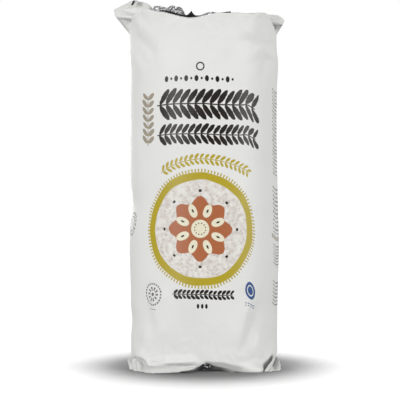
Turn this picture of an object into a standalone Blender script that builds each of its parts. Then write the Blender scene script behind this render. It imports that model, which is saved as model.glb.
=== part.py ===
"""A sealed flow-wrap pack of round puffed rice cakes, standing on its folded bottom seam.

Lengths are in metres, angles in degrees. +Z is up, the printed front faces -Y, and the origin
is the middle of the flat base. A bearing is measured round the pack from the front: 0 is the
front, 90 the right-hand side, 180 the back and -90 the left-hand side.

The pack can't be seen into, so film and cakes are one solid. The film is a tube round the
stack. At the top it closes to a straight seam, whose fin is folded back, and the slack at both
ends of the seam stands out as an ear. The bottom is folded the same way, and pressed flat.
"""

import math

import bmesh
import bpy

MM = 0.001

# Driving sizes
FILM_RADIUS = 47.6 * MM      # half the width of the wrapped stack
RIM_HEIGHT = 222.5 * MM      # where the film turns over the top cake
SEAM_HEIGHT = 226.5 * MM     # the top seam, in the middle of the top
SEAM_SETBACK = 2.0 * MM      # how far the seam lies behind the middle
FIN_WIDTH = 11.0 * MM        # from the seam to the cut edge of the film
FIN_THICKNESS = 0.9 * MM     # two layers, sealed and crimped
ROOT_OVERLAP = 1.5 * MM      # how deep a fin or ear is sunk in the body, so that they join

# How finely the tube is divided
COLUMNS = 72
BODY_ROWS = 30

# Creases where the film turns from one flat panel to the next near the ends, by bearing
PANEL_CREASES = (-90.0, -42.0, 33.0, 90.0, 142.0, 218.0)
PANEL_FLATNESS = 0.30        # share of a true flat panel that the film takes at the very ends
PANEL_REACH = 60.0 * MM      # how far from each end the panels fade out
RIM_TURN = 4.5 * MM          # height of the rounded edge at the top

# Dents (+) and bulges (-) of the film: bearing, height, spread round, spread up, depth
DENTS = (
    (-90.0, 105 * MM, 30 * MM, 10 * MM, 1.8 * MM),
    (-90.0, 185 * MM, 28 * MM, 26 * MM, -0.5 * MM),
    (-90.0, 76 * MM, 28 * MM, 16 * MM, -0.7 * MM),
    (-90.0, 29 * MM, 24 * MM, 7 * MM, 0.9 * MM),
    (90.0, 196 * MM, 26 * MM, 12 * MM, -0.8 * MM),
    (90.0, 155 * MM, 26 * MM, 34 * MM, 0.7 * MM),
    (90.0, 78 * MM, 28 * MM, 24 * MM, -0.8 * MM),
    (-47.0, 30 * MM, 12 * MM, 20 * MM, 1.1 * MM),
    (42.0, 24 * MM, 10 * MM, 18 * MM, 1.1 * MM),
    (52.0, 200 * MM, 13 * MM, 10 * MM, 0.9 * MM),
    (140.0, 172 * MM, 18 * MM, 26 * MM, 1.2 * MM),
    (-142.0, 62 * MM, 16 * MM, 30 * MM, 1.3 * MM),
    (168.0, 96 * MM, 14 * MM, 12 * MM, 0.9 * MM),
)

# The ears, where the ends of the top seam stand out past the body. Each has the side fold that
# runs up from the body's side, the front fold where its shaded underside starts, the point
# halfway up its outer edge, and the tip where the seam ends. Distances are from the axis.
EAR_SPAN = 15.0              # degrees of bearing from the ear's middle to its front fold
LEFT_EAR = {
    "side": -1, "fold_radius": 48.4 * MM, "fold_height": 215.0 * MM,
    "front_radius": 47.3 * MM, "front_height": 223.8 * MM,
    "edge_reach": 54.5 * MM, "edge_height": 223.5 * MM,
    "tip_reach": 58.5 * MM, "tip_height": 230.7 * MM,
    "fin_reach": 46.7 * MM, "fin_height": 235.4 * MM,
}
RIGHT_EAR = {
    "side": 1, "fold_radius": 46.5 * MM, "fold_height": 214.5 * MM,
    "front_radius": 44.6 * MM, "front_height": 221.4 * MM,
    "edge_reach": 49.6 * MM, "edge_height": 221.0 * MM,
    "tip_reach": 51.6 * MM, "tip_height": 224.4 * MM,
    "fin_reach": 46.5 * MM, "fin_height": 227.6 * MM,
}

# The foot, where the film turns under the pack. At the front it is pulled out to two corners.
FOOT_HEIGHT = 10.0 * MM      # above this the body's side is upright
FOOT_INSET = 8.0 * MM        # the flat base is this much smaller all round
CORNER_HEIGHT = 7.0 * MM     # above this the corners have faded into the body's side
CORNERS = (                  # bearing, spread round, how far out at the floor
    (-39.0, 12.0, 6.0 * MM),
    (43.0, 12.0, 7.0 * MM),
)
ARCH_PLACE = 1.2 * MM        # the front hem is lifted into a small arch to the right of the middle
ARCH_HEIGHT = 7.2 * MM
ARCH_DEPTH = 13.0 * MM

# The bottom seam's fin, where it is folded forward and shows as a strip on the left of the foot
BOTTOM_FIN_START = -39.0     # bearings of its cut end, and of where it slips under the film
BOTTOM_FIN_END = -3.0
BOTTOM_FIN_HEIGHT = 5.4 * MM
BOTTOM_FIN_THICKNESS = 1.4 * MM

# The gathered ends of the bottom seam, which stand out from the two corners
LEFT_TAB_BEARING = -57.0
LEFT_TAB_OUTLINE = (         # from the body's side outwards, and height
    (-4.0 * MM, 0.3 * MM), (8.6 * MM, 0.3 * MM), (10.4 * MM, 3.6 * MM), (11.0 * MM, 8.3 * MM),
    (7.0 * MM, 9.0 * MM), (3.4 * MM, 8.3 * MM), (-4.0 * MM, 9.6 * MM),
)
LEFT_TAB_THICKNESS = 4.0 * MM
PLEAT_DEPTH = 0.9 * MM
PLEAT_WIDTH = 2.7 * MM
RIGHT_TAB_POINTS = (         # bearing, distance from the axis and height of its corners
    (46.0, 44.0 * MM, 0.3 * MM), (42.0, 56.0 * MM, 0.3 * MM), (47.0, 58.0 * MM, 0.3 * MM),
    (53.0, 60.5 * MM, 1.2 * MM), (54.5, 60.0 * MM, 6.0 * MM), (58.0, 57.0 * MM, 8.9 * MM),
    (66.0, 51.0 * MM, 9.6 * MM), (72.0, 45.0 * MM, 8.6 * MM), (74.0, 46.5 * MM, 1.5 * MM),
    (50.0, 50.0 * MM, 3.0 * MM),
)

# The back seam, a crimped strip that lies flat against the film from foot to top
BACK_SEAM_BEARING = 180.0
BACK_SEAM_WIDTH = 11.5 * MM
BACK_SEAM_THICKNESS = 0.9 * MM
BACK_SEAM_COLUMNS = 4
BACK_SEAM_BOTTOM = 9.5 * MM
BACK_SEAM_TOP = 217.0 * MM


def ramp(value, start, end):
    """0 up to start, 1 from end on, and smooth between them."""
    share = min(1.0, max(0.0, (value - start) / (end - start)))
    return share * share * (3.0 - 2.0 * share)


def bump(value, centre, spread):
    """1 at centre, falling away smoothly on both sides."""
    return math.exp(-(((value - centre) / spread) ** 2))


def mix(a, b, share):
    """A number or a point between a and b."""
    if isinstance(a, tuple):
        return tuple(mix(p, q, share) for p, q in zip(a, b))
    return a + (b - a) * share


def turned(bearing):
    """The same bearing, from -180 up to 180."""
    return (bearing + 180.0) % 360.0 - 180.0


def on_side(radius, bearing, height):
    angle = math.radians(bearing)
    return (radius * math.sin(angle), -radius * math.cos(angle), height)


def panel_relief(bearing, height):
    """How far the film lies inside the round: flat panels meet in creases near both ends."""
    starts = sorted(PANEL_CREASES)
    place = (bearing - starts[0]) % 360.0
    edges = [start - starts[0] for start in starts] + [360.0]
    left = max(edge for edge in edges if edge <= place)
    right = min(edge for edge in edges if edge > place)
    share = (place - left) / (right - left)
    chord_depth = FILM_RADIUS * (1.0 - math.cos(math.radians((right - left) / 2.0)))
    near_end = max(ramp(height, PANEL_REACH, 0.0), ramp(height, RIM_HEIGHT - PANEL_REACH, RIM_HEIGHT))
    return PANEL_FLATNESS * near_end * chord_depth * 4.0 * share * (1.0 - share)


def film_radius(bearing, height):
    """The film's distance from the axis on the body's side."""
    radius = FILM_RADIUS - panel_relief(bearing, height)
    for dent_bearing, dent_height, spread_round, spread_up, depth in DENTS:
        along = math.radians(turned(bearing - dent_bearing)) * FILM_RADIUS
        radius -= depth * bump(along, 0.0, spread_round) * bump(height, dent_height, spread_up)
    return radius


def seam_share(bearing):
    """Where the film at this bearing meets the seam: -1 is its left end, 1 its right end."""
    bearing = turned(bearing)
    if abs(bearing) <= 90.0:
        return bearing / 90.0
    return math.copysign(180.0 - abs(bearing), bearing) / 90.0


def seam_point(share):
    """A point of the top seam. It rises towards the left ear and falls towards the right one."""
    ear = LEFT_EAR if share < 0.0 else RIGHT_EAR
    to_tip = ramp(abs(share), 0.55, 1.0)
    height = mix(SEAM_HEIGHT, ear["tip_height"], to_tip)
    return (share * ear["tip_reach"], SEAM_SETBACK * (1.0 - to_tip), height)


def rim_point(bearing):
    """Where the film turns from the body's side over the top cake."""
    bearing = turned(bearing)
    share = seam_share(bearing)
    ear = LEFT_EAR if share < 0.0 else RIGHT_EAR
    from_ear = 90.0 * (1.0 - abs(share))
    lift = 4.6 * MM * bump(bearing, -58.0, 20.0) + 2.2 * MM * bump(bearing, 42.0, 18.0)
    sag = 3.2 * MM * bump(bearing, -11.0, 15.0)
    height = RIM_HEIGHT + lift - sag
    radius = film_radius(bearing, RIM_HEIGHT)
    near_fold = ramp(from_ear, EAR_SPAN + 20.0, EAR_SPAN)
    height = mix(height, ear["front_height"], near_fold)
    radius = mix(radius, ear["front_radius"], near_fold)
    if from_ear < EAR_SPAN:
        to_side = 1.0 - from_ear / EAR_SPAN
        height = mix(ear["front_height"], ear["fold_height"], to_side)
        radius = mix(ear["front_radius"], ear["fold_radius"], to_side)
    return on_side(radius, bearing, height)


def crease_point(bearing):
    """The fold between rim and seam. Under an ear it runs from the front fold to the outer edge."""
    share = seam_share(bearing)
    ear = LEFT_EAR if share < 0.0 else RIGHT_EAR
    from_ear = 90.0 * (1.0 - abs(share))
    front = bearing
    if from_ear < EAR_SPAN:
        from_front = 90.0 - EAR_SPAN if abs(turned(bearing)) < 90.0 else 90.0 + EAR_SPAN
        front = math.copysign(from_front, share)
    along = mix(0.06, 0.40, ramp(from_ear, EAR_SPAN, EAR_SPAN + 25.0))
    fold = mix(rim_point(front), seam_point(seam_share(front)), along)
    edge = (ear["side"] * ear["edge_reach"], 0.0, ear["edge_height"])
    return mix(edge, fold, min(1.0, from_ear / EAR_SPAN))


def arch(across):
    """Height of the lifted front hem, steep on its left and drawn out on its right."""
    if across < ARCH_PLACE:
        return ARCH_HEIGHT * math.exp(-(ARCH_PLACE - across) / (6.5 * MM))
    slow = 0.62 * math.exp(-(across - ARCH_PLACE) / (12.0 * MM))
    fast = 0.38 * math.exp(-(across - ARCH_PLACE) / (2.5 * MM))
    return ARCH_HEIGHT * (slow + fast)


def foot_radius(bearing, up):
    """The film's distance from the axis in the foot, where up is 0 at the floor and 1 at its top:
    a quarter round at the sides and back, and a straight hem at the front."""
    front = ramp(abs(bearing), 75.0, 55.0)
    round_inset = FOOT_INSET * (1.0 - math.sqrt(1.0 - (1.0 - up) ** 2))
    inset = mix(round_inset, 0.4 * MM * (1.0 - up), front)
    corner = sum(reach * bump(bearing, place, spread) for place, spread, reach in CORNERS)
    return film_radius(bearing, FOOT_HEIGHT) - inset + corner * ramp(FOOT_HEIGHT * up, CORNER_HEIGHT, 0.0)


def foot_ring(bearing):
    """The film from the flat base up to the body's side, as (radius, height) pairs."""
    bearing = turned(bearing)
    across = FILM_RADIUS * math.sin(math.radians(bearing))
    lifted = arch(across) * ramp(abs(bearing), 75.0, 55.0)
    ring = [(FILM_RADIUS - ARCH_DEPTH, 0.0)]
    for up in (0.0, 0.18, 0.42, 0.7, 1.0):
        ring.append((foot_radius(bearing, up), mix(lifted, FOOT_HEIGHT, up)))
    return ring


def film_column(bearing):
    """The film at one bearing, from the edge of the base to the top seam."""
    points = [on_side(radius, bearing, height) for radius, height in foot_ring(bearing)]
    rim = rim_point(bearing)
    turn = rim[2] - RIM_TURN
    for row in range(1, BODY_ROWS):
        height = mix(FOOT_HEIGHT, turn, row / (BODY_ROWS - 1))
        radius = film_radius(bearing, height)
        rim_radius = math.hypot(rim[0], rim[1])
        blend = ramp(height, RIM_HEIGHT - 30.0 * MM, turn)
        points.append(on_side(mix(radius, rim_radius, blend), bearing, height))
    below, fold, seam = points[-1], crease_point(bearing), seam_point(seam_share(bearing))
    for share in (0.35, 0.65, 0.9):
        # a soft turn over the edge of the top cake
        points.append(mix(mix(below, rim, share), mix(rim, fold, share), share * share * 0.5))
    points += [mix(rim, fold, 0.45), fold]
    points += [mix(fold, seam, share) for share in (0.35, 0.7, 1.0)]
    return points


def new_object(name, shape, material):
    """An object from a bmesh, shaded smooth except at real creases."""
    mesh = bpy.data.meshes.new(name)
    shape.to_mesh(mesh)
    shape.free()
    mesh.materials.append(material)
    mesh.shade_smooth()
    mesh.set_sharp_from_angle(angle=math.radians(35.0))
    thing = bpy.data.objects.new(name, mesh)
    bpy.context.scene.collection.objects.link(thing)
    return thing


def film_material():
    """Matt, off-white printed film."""
    material = bpy.data.materials.new("matt_film")
    material.use_nodes = True
    surface = material.node_tree.nodes["Principled BSDF"]
    surface.inputs["Base Color"].default_value = (0.74, 0.74, 0.725, 1.0)
    surface.inputs["Roughness"].default_value = 0.55
    surface.inputs["Metallic"].default_value = 0.0
    return material


def wrapped_stack(material):
    """The body: a flat web of film wrapped round the stack, closed to the top seam."""
    columns = [film_column(column * 360.0 / COLUMNS - 180.0) for column in range(COLUMNS)]
    rows = len(columns[0])
    shape = bmesh.new()
    bmesh.ops.create_grid(shape, x_segments=COLUMNS, y_segments=rows - 1, size=0.5)
    for vertex in shape.verts:
        column = round((vertex.co.x + 0.5) * COLUMNS) % COLUMNS
        row = round((vertex.co.y + 0.5) * (rows - 1))
        vertex.co = columns[column][row]
    bmesh.ops.remove_doubles(shape, verts=shape.verts[:], dist=0.001 * MM)
    hem = [edge for edge in shape.edges if edge.is_boundary]
    bmesh.ops.contextual_create(shape, geom=hem)
    bmesh.ops.recalc_face_normals(shape, faces=shape.faces[:])
    return new_object("rice_cake_pack", shape, material)


def fin_rise(across):
    """How far the fin's cut edge stands above the seam: upright at the left ear, then lying
    back, but for one curled stretch left of the middle."""
    upright = 6.5 * MM * ramp(across, -26.0 * MM, -47.0 * MM)
    curl = 4.4 * MM * bump(across, -19.0 * MM, 5.0 * MM)
    return 1.6 * MM + upright + curl


def top_fin(material):
    """The sealed fin of the top seam, folded back over the top."""
    strips = 44
    shape = bmesh.new()
    bmesh.ops.create_grid(shape, x_segments=strips, y_segments=3, size=0.5)
    for vertex in shape.verts:
        share = 2.0 * vertex.co.x * 0.985
        up = vertex.co.y + 0.5
        ear = LEFT_EAR if share < 0.0 else RIGHT_EAR
        root = seam_point(share)
        rise = fin_rise(root[0])
        back = math.sqrt(FIN_WIDTH ** 2 - rise ** 2)
        cut_edge = (root[0], root[1] + back, root[2] + rise)
        corner = (ear["side"] * ear["fin_reach"], 3.0 * MM, ear["fin_height"])
        cut_edge = mix(cut_edge, corner, ramp(abs(share), 0.74, 0.985))
        sunk = (root[0], root[1] - 0.3 * MM, root[2] - ROOT_OVERLAP)
        vertex.co = mix(sunk, cut_edge, up)
    return thickened("top_fin", shape, FIN_THICKNESS, material)


def thickened(name, shape, thickness, material):
    """An object from an open sheet, given its thickness to both sides alike."""
    sheet = new_object(name, shape, material)
    solidify = sheet.modifiers.new("thickness", "SOLIDIFY")
    solidify.thickness = thickness
    solidify.offset = 0.0
    return sheet


def bottom_fin(material):
    """The part of the bottom seam's fin that is folded forward, over the front of the foot."""
    shape = bmesh.new()
    bmesh.ops.create_grid(shape, x_segments=14, y_segments=3, size=0.5)
    for vertex in shape.verts:
        along = vertex.co.x + 0.5
        bearing = mix(BOTTOM_FIN_START, BOTTOM_FIN_END, along)
        lowest = 0.5 * MM + 3.6 * MM * along ** 3
        height = mix(lowest, BOTTOM_FIN_HEIGHT + 0.8 * MM * along, vertex.co.y + 0.5)
        radius = foot_radius(bearing, height / FOOT_HEIGHT) + 0.2 * MM
        vertex.co = on_side(radius, bearing, height)
    return thickened("bottom_fin", shape, BOTTOM_FIN_THICKNESS, material)


def left_tab(material):
    """The left end of the bottom seam: a gathered tab with upright pleats."""
    shape = bmesh.new()
    rim = [shape.verts.new((out, 0.0, height)) for out, height in LEFT_TAB_OUTLINE]
    shape.faces.new(rim)
    for place in range(1, 6):
        bmesh.ops.bisect_plane(
            shape, geom=shape.verts[:] + shape.edges[:] + shape.faces[:],
            plane_co=(place * PLEAT_WIDTH * 0.75 - 1.5 * MM, 0.0, 0.0),
            plane_no=(1.0, 0.0, 0.0), dist=0.01 * MM,
        )
    angle = math.radians(LEFT_TAB_BEARING)
    foot = film_radius(LEFT_TAB_BEARING, 5.0 * MM) - 0.5 * MM
    for vertex in shape.verts:
        out, height = vertex.co.x, vertex.co.z
        pleat = PLEAT_DEPTH * math.cos(math.pi * out / PLEAT_WIDTH) * ramp(out, 0.0, 2.0 * MM)
        reach = foot + out
        vertex.co = (
            reach * math.sin(angle) + pleat * math.cos(angle),
            -reach * math.cos(angle) + pleat * math.sin(angle),
            height,
        )
    return thickened("left_tab", shape, LEFT_TAB_THICKNESS, material)


def right_tab(material):
    """The right end of the bottom seam: a three-sided fold under the side of the pack."""
    shape = bmesh.new()
    corners = [shape.verts.new(on_side(radius, bearing, height))
               for bearing, radius, height in RIGHT_TAB_POINTS]
    hull = bmesh.ops.convex_hull(shape, input=corners)
    inside = [piece for piece in hull["geom_interior"] if isinstance(piece, bmesh.types.BMVert)]
    bmesh.ops.delete(shape, geom=inside, context="VERTS")
    bmesh.ops.recalc_face_normals(shape, faces=shape.faces[:])
    return new_object("right_tab", shape, material)


def back_seam(material):
    """The lengthwise seam: a flat strip down the back, a little proud of the film."""
    strips = 28
    shape = bmesh.new()
    bmesh.ops.create_grid(shape, x_segments=BACK_SEAM_COLUMNS, y_segments=strips, size=0.5)
    arc = math.degrees(BACK_SEAM_WIDTH / FILM_RADIUS)
    middle = (BACK_SEAM_THICKNESS - ROOT_OVERLAP) / 2.0
    for vertex in shape.verts:
        bearing = BACK_SEAM_BEARING - arc * (vertex.co.x + 0.5)
        height = mix(BACK_SEAM_BOTTOM, BACK_SEAM_TOP, vertex.co.y + 0.5)
        column = film_radius(bearing, height)
        vertex.co = on_side(column + middle, bearing, height)
    return thickened("back_seam", shape, BACK_SEAM_THICKNESS + ROOT_OVERLAP, material)


def joined_to(body, piece):
    """Joins a piece to the body as one solid, and leaves the piece itself out of the model."""
    union = body.modifiers.new(piece.name, "BOOLEAN")
    union.operation = "UNION"
    union.solver = "EXACT"
    union.object = piece
    piece.hide_render = True
    piece.display_type = "WIRE"


def build():
    for thing in list(bpy.data.objects):
        bpy.data.objects.remove(thing)
    film = film_material()
    pack = wrapped_stack(film)
    joined_to(pack, top_fin(film))
    joined_to(pack, back_seam(film))
    joined_to(pack, bottom_fin(film))
    joined_to(pack, left_tab(film))
    joined_to(pack, right_tab(film))


build()
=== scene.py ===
import math

import bmesh
import bpy
import numpy as np
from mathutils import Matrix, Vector, noise


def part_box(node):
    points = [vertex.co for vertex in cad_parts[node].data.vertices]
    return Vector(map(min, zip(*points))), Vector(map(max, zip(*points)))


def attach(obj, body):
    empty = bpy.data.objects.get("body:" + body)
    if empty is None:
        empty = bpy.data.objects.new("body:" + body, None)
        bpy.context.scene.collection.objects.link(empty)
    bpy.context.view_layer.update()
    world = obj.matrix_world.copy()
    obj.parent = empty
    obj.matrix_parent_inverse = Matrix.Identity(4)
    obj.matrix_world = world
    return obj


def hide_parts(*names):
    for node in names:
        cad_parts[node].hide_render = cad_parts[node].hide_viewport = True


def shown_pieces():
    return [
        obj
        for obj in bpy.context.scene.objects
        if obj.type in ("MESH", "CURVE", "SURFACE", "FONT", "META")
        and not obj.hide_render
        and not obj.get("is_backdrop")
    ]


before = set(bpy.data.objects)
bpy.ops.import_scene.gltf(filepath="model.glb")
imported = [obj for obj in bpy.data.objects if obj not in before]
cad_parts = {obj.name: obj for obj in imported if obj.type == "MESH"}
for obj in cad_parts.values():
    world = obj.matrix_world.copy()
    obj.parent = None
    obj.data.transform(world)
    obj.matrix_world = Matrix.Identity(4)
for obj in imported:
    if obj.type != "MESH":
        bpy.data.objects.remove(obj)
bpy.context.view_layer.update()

# ---------------------------------------------------------------------------------------------
# The wrapped film. One web of matt white printed film goes round the stack of cakes and closes
# to a straight seam at the top; at the foot it is pulled out to two corners and turned under.
# It is a flat grid wrapped round the stack, then creased along the lines where real film folds.

MM = 0.001
_, pack_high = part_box("rice_cake_pack")
FILM_RADIUS = 47.6 * MM
RIM_HEIGHT = pack_high.z - 14.6 * MM    # where the film turns over the top cake
RIM_TURN = 0.6 * MM
RIM_BLEND = 30.0 * MM                   # how far below the rim the body starts to follow it
SEAM_HEIGHT = RIM_HEIGHT + 2.4 * MM
SEAM_SETBACK = 2.0 * MM
FOOT_HEIGHT = 10.0 * MM
FOOT_INSET = 8.0 * MM
HEM_INSET = 0.4 * MM
CORNER_HEIGHT = 7.0 * MM

# The flat base reaches further forward under the front hem, and stays back under its arch; its
# last row lies just inside the hem, so that the hem's edge is sharp
BASE_RADIUS = FILM_RADIUS - 9.2 * MM
BASE_FRONT_REACH = 4.4 * MM
BASE_ARCH_SETBACK = 9.0 * MM
BASE_ARCH_RANGE = (1.4 * MM, 3.4 * MM)
BASE_LAST_ROW = 0.94

COLUMNS = 300
BASE_ROWS, FOOT_ROWS, BODY_ROWS, TURN_ROWS, SHOULDER_ROWS, TOP_ROWS = 5, 16, 214, 10, 20, 40

# Creases where the film turns from one flat panel to the next near the ends, by bearing:
# 0 is the front, 90 the right-hand side
PANEL_CREASES = (-90.0, -42.0, 33.0, 90.0, 142.0, 218.0)
PANEL_FLATNESS = 0.30
PANEL_REACH = 60.0 * MM
PANEL_SOFTENING = (-10.0, -5.0, 0.0, 5.0, 10.0)

# Dents (+) and bulges (-): bearing, height, spread round, spread up, depth, in mm and degrees
DENTS = (
    (-90, 105, 30, 10, 1.8), (-90, 185, 28, 26, -0.5), (-90, 76, 28, 16, -0.7),
    (-90, 29, 24, 7, 0.9), (90, 196, 26, 12, -0.8), (90, 155, 26, 34, 0.7),
    (90, 78, 28, 24, -0.8), (-47, 30, 12, 20, 1.1), (42, 24, 10, 18, 1.1),
    (52, 200, 13, 10, 0.9), (140, 172, 18, 26, 1.2), (-142, 62, 16, 30, 1.3),
    (168, 96, 14, 12, 0.9),
)
# Where the rim stands higher (+) or sags (-): bearing, spread round, rise
RIM_SWELLS = ((-58.0, 20.0, 4.6 * MM), (58.0, 16.0, 2.0 * MM), (-11.0, 15.0, -3.2 * MM))
SHOULDER_FOLD = (0.06, 0.40)            # how far from rim to seam the fold lies: at an ear, between

# The left and the right ear. A drop is measured down from the pack's top, a radius or a reach out
# from its axis; span is the bearing from the side to the ear's front fold
EARS = {
    "side": (-1, 1),
    "span": (15.0, 15.0),
    "fold_radius": (48.4 * MM, 46.5 * MM),
    "fold_drop": (22.1 * MM, 22.6 * MM),
    "front_radius": (47.3 * MM, 44.6 * MM),
    "front_drop": (13.3 * MM, 15.7 * MM),
    "edge_reach": (56.2 * MM, 50.7 * MM),
    "edge_drop": (11.4 * MM, 16.6 * MM),
    "edge_forward": (3.0 * MM, 5.0 * MM),
    "tip_reach": (58.5 * MM, 51.6 * MM),
    "tip_drop": (6.4 * MM, 12.7 * MM),
    "pocket": (3.2 * MM, 5.4 * MM),
    "tuck": (0.9, 1.0),
    "fin_lean": (11.8 * MM, 5.1 * MM),
}
# The foot's pulled-out corners: bearing, spread round, reach
CORNERS = ((-39.0, 12.0, 3.4 * MM), (42.0, 8.5, 7.4 * MM))
FRONT_HEM = (75.0, 55.0)                # bearings from the round side to the straight hem
# The front hem is lifted in an arch: steep on its left, drawn out on its right down to the floor,
# given there as distance across and height
ARCH_PLACE = 1.2 * MM
ARCH_HEIGHT = 7.2 * MM
ARCH_LEFT_REACH = 8.5 * MM
ARCH_RIGHT = MM * np.array(
    ((1.2, 7.2), (3.5, 6.0), (7.0, 4.7), (12.0, 3.6), (17.2, 2.2), (22.0, 0.6), (25.0, 0.0))
)
# Where the lifted hem folds under, as distance across and height, and how fast it goes in below
TURN_UNDER = MM * np.array(
    ((-0.5, 0.0), (1.5, 7.5), (12.0, 7.2), (18.0, 5.4), (25.0, 3.8), (33.0, 1.8), (40.0, 0.0))
)
TURN_UNDER_SLOPE = 0.6


def ramp(value, start, end):
    """0 up to start, 1 from end on, and smooth between them."""
    share = np.clip((value - start) / (end - start), 0.0, 1.0)
    return share * share * (3.0 - 2.0 * share)


def bump(value, centre, spread):
    """1 at centre, falling away smoothly on both sides."""
    return np.exp(-(((value - centre) / spread) ** 2))


def mix(a, b, share):
    return a + (b - a) * share


def turned(bearing):
    """The same bearing, from -180 up to 180."""
    return (bearing + 180.0) % 360.0 - 180.0


def on_side(radius, bearing, height):
    """Points at a distance from the axis, a bearing and a height, as rows of x, y, z."""
    angle = np.radians(bearing)
    radius, angle, height = np.broadcast_arrays(radius, angle, height)
    return np.stack([radius * np.sin(angle), -radius * np.cos(angle), height], axis=-1)


def near_ends(height, reach):
    """1 at the floor and at the rim, 0 from reach away from them."""
    return np.maximum(ramp(height, reach, 0.0), ramp(height, RIM_HEIGHT - reach, RIM_HEIGHT))


def panel_relief(bearing, height):
    """How far the film lies inside the round: flat panels meet in creases near both ends."""
    starts = np.array(PANEL_CREASES)
    edges = np.append(starts - starts[0], 360.0)
    place = (bearing - starts[0]) % 360.0
    panel = np.clip(np.searchsorted(edges, place, side="right") - 1, 0, len(starts) - 1)
    width = edges[panel + 1] - edges[panel]
    share = (place - edges[panel]) / width
    chord_depth = FILM_RADIUS * (1.0 - np.cos(np.radians(width / 2.0)))
    hollow = chord_depth * 4.0 * share * (1.0 - share)
    return PANEL_FLATNESS * near_ends(height, PANEL_REACH) * hollow


def film_radius(bearing, height):
    """The film's distance from the axis on the body's side. Its panels meet in soft bends."""
    bends = [panel_relief(bearing + aside, height) for aside in PANEL_SOFTENING]
    radius = FILM_RADIUS - sum(bends) / len(bends)
    for dent_bearing, dent_height, spread_round, spread_up, depth in DENTS:
        along = np.radians(turned(bearing - dent_bearing)) * FILM_RADIUS
        dent = bump(along, 0.0, spread_round * MM) * bump(height, dent_height * MM, spread_up * MM)
        radius = radius - depth * MM * dent
    return radius


def seam_share(bearing):
    """Where the film at this bearing meets the seam: -1 is its left end, 1 its right end."""
    bearing = turned(bearing)
    from_back = np.copysign(180.0 - np.abs(bearing), bearing)
    return np.where(np.abs(bearing) <= 90.0, bearing, from_back) / 90.0


def by_ear(share, key):
    """A size of the left ear on the left of the pack, and of the right ear on the right."""
    return np.where(share < 0.0, *EARS[key])


def seam_points(share):
    """The top seam. It rises towards the left ear and falls towards the right one."""
    to_tip = ramp(np.abs(share), 0.55, 1.0)
    tip = pack_high.z - by_ear(share, "tip_drop")
    across = share * by_ear(share, "tip_reach")
    height = mix(SEAM_HEIGHT, tip, to_tip)
    return np.stack([across, SEAM_SETBACK * (1.0 - to_tip), height], axis=-1)


def rim_points(bearing):
    """Where the film turns from the body's side over the top cake."""
    bearing = turned(bearing)
    share = seam_share(bearing)
    from_ear = 90.0 * (1.0 - np.abs(share))
    span = by_ear(share, "span")
    near_fold = ramp(from_ear, span + 20.0, span)
    swell = sum(rise * bump(bearing, place, spread) for place, spread, rise in RIM_SWELLS)
    height = mix(RIM_HEIGHT + swell, pack_high.z - by_ear(share, "front_drop"), near_fold)
    radius = mix(film_radius(bearing, RIM_HEIGHT), by_ear(share, "front_radius"), near_fold)
    to_side = np.clip(1.0 - from_ear / span, 0.0, 1.0)
    height = mix(height, pack_high.z - by_ear(share, "fold_drop"), to_side)
    radius = mix(radius, by_ear(share, "fold_radius"), to_side)
    return on_side(radius, bearing, height)


def crease_points(bearing):
    """The fold between rim and seam. Under an ear it runs from the front fold to the outer edge."""
    share = seam_share(bearing)
    from_ear = 90.0 * (1.0 - np.abs(share))
    span = by_ear(share, "span")
    to_fold = np.where(np.abs(turned(bearing)) < 90.0, 90.0 - span, 90.0 + span)
    front = np.where(from_ear < span, np.copysign(to_fold, share), bearing)
    along = mix(*SHOULDER_FOLD, ramp(from_ear, span, span + 25.0))[..., None]
    fold = mix(rim_points(front), seam_points(seam_share(front)), along)
    out = by_ear(share, "side") * by_ear(share, "edge_reach")
    height = pack_high.z - by_ear(share, "edge_drop")
    edge = np.stack([out, -by_ear(share, "edge_forward"), height], axis=-1)
    return mix(edge, fold, np.minimum(1.0, from_ear / span)[..., None])


def ear_pocket(bearing, share_up, places):
    """The film under an ear, tucked in between the ear's front and back layers."""
    share = seam_share(bearing)
    from_ear = np.minimum(90.0 * (1.0 - np.abs(share)) / by_ear(share, "span"), 1.0)
    deep = np.sin(np.pi * from_ear) ** 0.35 * (4.0 * share_up * (1.0 - share_up)) ** 0.25
    tucked = places.copy()
    tucked[:, 0] -= np.sign(share) * by_ear(share, "pocket") * deep
    tucked[:, 1] *= 1.0 - by_ear(share, "tuck") * deep
    return tucked


def in_front(bearing):
    """1 along the straight front hem, 0 round the sides and back."""
    return ramp(np.abs(bearing), *FRONT_HEM)


def arch(across):
    """Height of the lifted front hem, steep on its left and drawn out on its right."""
    left = ARCH_HEIGHT * np.exp(-np.maximum(ARCH_PLACE - across, 0.0) / ARCH_LEFT_REACH)
    return np.where(across < ARCH_PLACE, left, np.interp(across, *ARCH_RIGHT.T))


def turned_under(bearing, height):
    """How far the hem turns in under the pack, to the right of the arch."""
    edge = np.interp(FILM_RADIUS * np.sin(np.radians(bearing)), *TURN_UNDER.T)
    return TURN_UNDER_SLOPE * np.maximum(edge - height, 0.0) * (np.abs(bearing) < FRONT_HEM[0])


def foot_radius(bearing, up):
    """The film's distance from the axis in the foot, where up is 0 at the floor and 1 at its top:
    a quarter round at the sides and back, and a straight hem at the front."""
    bearing = turned(bearing)
    round_inset = FOOT_INSET * (1.0 - np.sqrt(1.0 - (1.0 - up) ** 2))
    inset = mix(round_inset, HEM_INSET * (1.0 - up), in_front(bearing))
    corner = sum(reach * bump(bearing, place, spread) for place, spread, reach in CORNERS)
    corner = corner * ramp(FOOT_HEIGHT * up, CORNER_HEIGHT, 0.0)
    return film_radius(bearing, FOOT_HEIGHT) - inset + corner


def steps(count):
    """Shares from 0 to 1 in even steps, without the 0 itself."""
    return np.linspace(0.0, 1.0, count + 1)[1:]


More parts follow.
